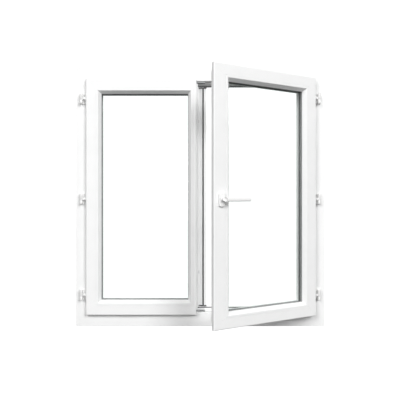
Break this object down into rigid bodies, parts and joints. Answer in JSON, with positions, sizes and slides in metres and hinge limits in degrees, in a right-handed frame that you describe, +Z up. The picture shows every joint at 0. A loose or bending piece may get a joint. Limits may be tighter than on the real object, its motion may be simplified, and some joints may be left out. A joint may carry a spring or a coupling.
{
  "type": "casement window",
  "caption": "White plastic two-leaf casement window that opens inward, with a floating mullion, barrel hinges and a lever handle that drives locking rods; one leaf stands ajar.",
  "frame": {"origin": "middle of the underside of the sill, at half the depth of the outer frame", "axes": "+X to the right seen from the room, +Y from the room to the outside, +Z up"},
  "size_m": [1.2, 0.3816, 1.25],
  "materials": {
    "upvc_white": "extruded hard plastic, satin to semi-gloss",
    "hardware_white": "white powder coat, semi-gloss",
    "zinc_steel": "bright zinc plated steel",
    "spacer_bar": "mill aluminium spacer bar",
    "seal_grey": "extruded grey elastomer",
    "cap_dark": "moulded dark end cap",
    "glass": "clear float glass"
  },
  "bodies": {
    "frame": {"frame_jamb_left": "upvc_white", "frame_jamb_right": "upvc_white", "frame_sill": "upvc_white", "frame_head": "upvc_white", "steel_jamb_left": "zinc_steel", "steel_jamb_right": "zinc_steel", "steel_sill": "zinc_steel", "steel_head": "zinc_steel", "frame_seal": "seal_grey", "head_keep": "zinc_steel", "sill_keep": "zinc_steel", "left_hinge_lower_frame": "hardware_white", "left_hinge_middle_frame": "hardware_white", "left_hinge_upper_frame": "hardware_white", "right_hinge_lower_frame": "hardware_white", "right_hinge_middle_frame": "hardware_white", "right_hinge_upper_frame": "hardware_white"},
    "left_leaf": {"left_stile_hinge": "upvc_white", "left_stile_meeting": "upvc_white", "left_rail_top": "upvc_white", "left_rail_bottom": "upvc_white", "left_bead_left": "upvc_white", "left_bead_right": "upvc_white", "left_bead_bottom": "upvc_white", "left_bead_top": "upvc_white", "left_pane_inner": "glass", "left_pane_outer": "glass", "left_spacer": "spacer_bar", "left_seal": "seal_grey", "floating_mullion": "upvc_white", "mullion_cap_top": "cap_dark", "mullion_cap_bottom": "cap_dark", "left_hinge_lower_sash": "hardware_white", "left_hinge_middle_sash": "hardware_white", "left_hinge_upper_sash": "hardware_white"},
    "right_leaf": {"right_stile_hinge": "upvc_white", "right_stile_meeting": "upvc_white", "right_rail_top": "upvc_white", "right_rail_bottom": "upvc_white", "right_bead_left": "upvc_white", "right_bead_right": "upvc_white", "right_bead_bottom": "upvc_white", "right_bead_top": "upvc_white", "right_pane_inner": "glass", "right_pane_outer": "glass", "right_spacer": "spacer_bar", "right_seal": "seal_grey", "gearbox_case": "zinc_steel", "espagnolette_faceplate": "zinc_steel", "handle_rosette": "hardware_white", "right_hinge_lower_sash": "hardware_white", "right_hinge_middle_sash": "hardware_white", "right_hinge_upper_sash": "hardware_white"},
    "handle": {"handle_lever": "hardware_white", "drive_pinion": "zinc_steel"},
    "rod_top": {"rod_top": "zinc_steel"},
    "rod_bottom": {"rod_bottom": "zinc_steel"},
    "bolt_top": {"bolt_top": "zinc_steel"},
    "bolt_bottom": {"bolt_bottom": "zinc_steel"}
  },
  "joints": [
    {"name": "right_leaf_swing", "type": "hinge", "parent": "frame", "child": "right_leaf", "pos_m": [0.57, -0.046, 0.625], "axis": [0, 0, 1], "range_deg": [-28.5, 141.5]},
    {"name": "left_leaf_swing", "type": "hinge", "parent": "frame", "child": "left_leaf", "pos_m": [-0.57, -0.046, 0.625], "axis": [0, 0, -1], "range_deg": [0, 170]},
    {"name": "handle_turn", "type": "hinge", "parent": "right_leaf", "child": "handle", "pos_m": [0.09377, -0.3205, 0.612], "axis": [-0.4772, 0.8788, 0], "range_deg": [0, 90]},
    {"name": "rod_top_slide", "type": "slide", "parent": "right_leaf", "child": "rod_top", "axis": [0, 0, 1], "range_m": [0, 0.01273]},
    {"name": "rod_bottom_slide", "type": "slide", "parent": "right_leaf", "child": "rod_bottom", "axis": [0, 0, -1], "range_m": [0, 0.01273]},
    {"name": "bolt_top_slide", "type": "slide", "parent": "left_leaf", "child": "bolt_top", "axis": [0, 0, 1], "range_m": [0, 0.018]},
    {"name": "bolt_bottom_slide", "type": "slide", "parent": "left_leaf", "child": "bolt_bottom", "axis": [0, 0, -1], "range_m": [0, 0.018]}
  ],
  "couplings": [
    {"joint": "rod_top_slide", "follows": "handle_turn", "m_per_rad": 0.0081},
    {"joint": "rod_bottom_slide", "follows": "handle_turn", "m_per_rad": 0.0081}
  ]
}
